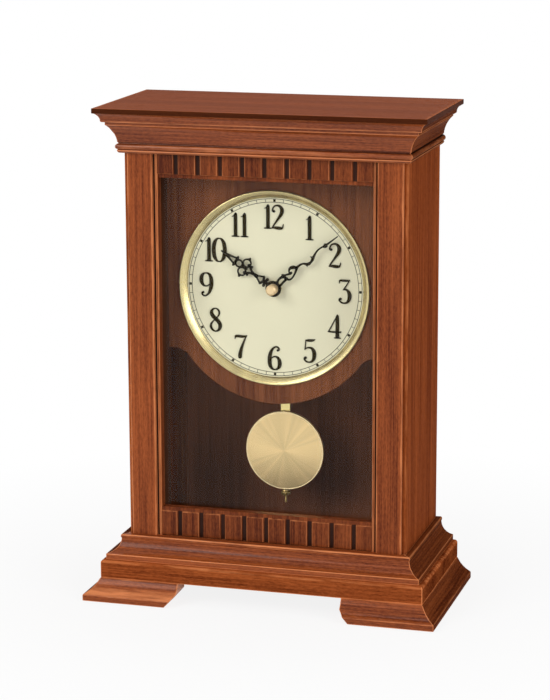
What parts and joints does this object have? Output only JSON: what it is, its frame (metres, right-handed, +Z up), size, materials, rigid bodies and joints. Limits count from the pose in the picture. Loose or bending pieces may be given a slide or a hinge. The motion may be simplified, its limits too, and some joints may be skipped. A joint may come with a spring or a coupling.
{
  "type": "desk pendulum clock",
  "caption": "Wooden desk pendulum clock with flat columns, a cove crown, spread feet, a round brass-rimmed dial behind glass, a battery movement, and a hinged rear door.",
  "frame": {"origin": "on the floor, at the middle of the bounding box's footprint", "axes": "+Z up, +X to the right seen from the front, the dial faces -Y"},
  "size_m": [0.2776, 0.1372, 0.381],
  "materials": {
    "case_wood": "stained and lacquered, edges rubbed lighter",
    "dial_board_wood": "dark stained, satin",
    "door_board": "dark stained fibreboard, matt",
    "glass": "clear",
    "satin_brass": "satin lacquered",
    "dial_paint": "matt cream with black print",
    "hand_black": "satin black",
    "movement_plastic": "moulded, black",
    "gear_plastic": "moulded, natural white",
    "steel": "bright",
    "spring_steel": "nickel plated",
    "rubber": "matt black",
    "circuit_board": "green lacquer",
    "cell_wrap": "gloss printed wrap",
    "speaker_grey": "matt grey"
  },
  "bodies": {
    "case": {"top_board": "case_wood", "crown_front": "case_wood", "crown_right": "case_wood", "crown_left": "case_wood", "side_panel_right": "case_wood", "side_panel_left": "case_wood", "case_ceiling": "case_wood", "stile_right": "case_wood", "stile_left": "case_wood", "column_right": "case_wood", "column_left": "case_wood", "rail_top": "case_wood", "rail_bottom": "case_wood", "base_moulding_front": "case_wood", "base_moulding_right": "case_wood", "base_moulding_left": "case_wood", "base_board": "case_wood", "foot_side_right": "case_wood", "foot_side_left": "case_wood", "foot_front_right": "case_wood", "foot_front_left": "case_wood", "dial_board": "dial_board_wood", "glass_strip_right": "dial_board_wood", "glass_strip_left": "dial_board_wood", "door_stop_right": "dial_board_wood", "door_stop_left": "dial_board_wood", "front_glass": "glass", "dial_bezel": "satin_brass", "case_hinge_leaves": "satin_brass", "mounting_nut": "satin_brass", "dial_plate": "dial_paint", "movement_housing": "movement_plastic", "movement_cover": "movement_plastic", "magnet_catch": "movement_plastic", "hinge_pins": "steel", "pendulum_pin": "steel", "battery_contacts": "spring_steel", "mounting_washer": "rubber", "circuit_board": "circuit_board", "batteries": "cell_wrap"},
    "minute": {"minute_arbor": "satin_brass", "minute_hand": "hand_black", "hand_cap": "satin_brass"},
    "hour": {"hour_wheel": "gear_plastic", "hour_hand": "hand_black"},
    "setting": {"minute_wheel": "gear_plastic", "set_knob": "movement_plastic"},
    "pendulum": {"pendulum_hanger": "gear_plastic", "pendulum_rod": "satin_brass", "pendulum_bob": "satin_brass", "rating_nut": "satin_brass"},
    "rear_door": {"rear_door": "door_board", "door_hinge_leaves": "satin_brass", "door_knob": "satin_brass", "strike_plate": "steel", "speaker": "speaker_grey"},
    "selector": {"chime_switch": "movement_plastic"},
    "volume": {"volume_wheel": "movement_plastic"}
  },
  "joints": [
    {"name": "minute_turn", "type": "hinge", "parent": "case", "child": "minute", "pos_m": [0, 0, 0.2425], "axis": [0, 1, 0], "continuous": true},
    {"name": "hour_turn", "type": "hinge", "parent": "case", "child": "hour", "pos_m": [0, 0, 0.2425], "axis": [0, 1, 0], "continuous": true},
    {"name": "setting_turn", "type": "hinge", "parent": "case", "child": "setting", "pos_m": [0, 0, 0.23], "axis": [0, 1, 0], "continuous": true},
    {"name": "pendulum_swing", "type": "hinge", "parent": "case", "child": "pendulum", "pos_m": [0, 0.01845, 0.206], "axis": [0, 1, 0], "range_deg": [-8, 8]},
    {"name": "rear_door_hinge", "type": "hinge", "parent": "case", "child": "rear_door", "pos_m": [0.0979, 0.0653, 0.2], "axis": [0, 0, -1], "range_deg": [0, 110]},
    {"name": "chime_selector_slide", "type": "slide", "parent": "case", "child": "selector", "axis": [1, 0, 0], "range_m": [-0.003, 0.003]},
    {"name": "volume_turn", "type": "hinge", "parent": "case", "child": "volume", "pos_m": [0.009, 0.018, 0.2785], "axis": [0, 1, 0], "range_deg": [-135, 135]}
  ],
  "couplings": [
    {"joint": "hour_turn", "follows": "minute_turn", "ratio": 0.083333},
    {"joint": "setting_turn", "follows": "minute_turn", "ratio": -0.33333}
  ]
}
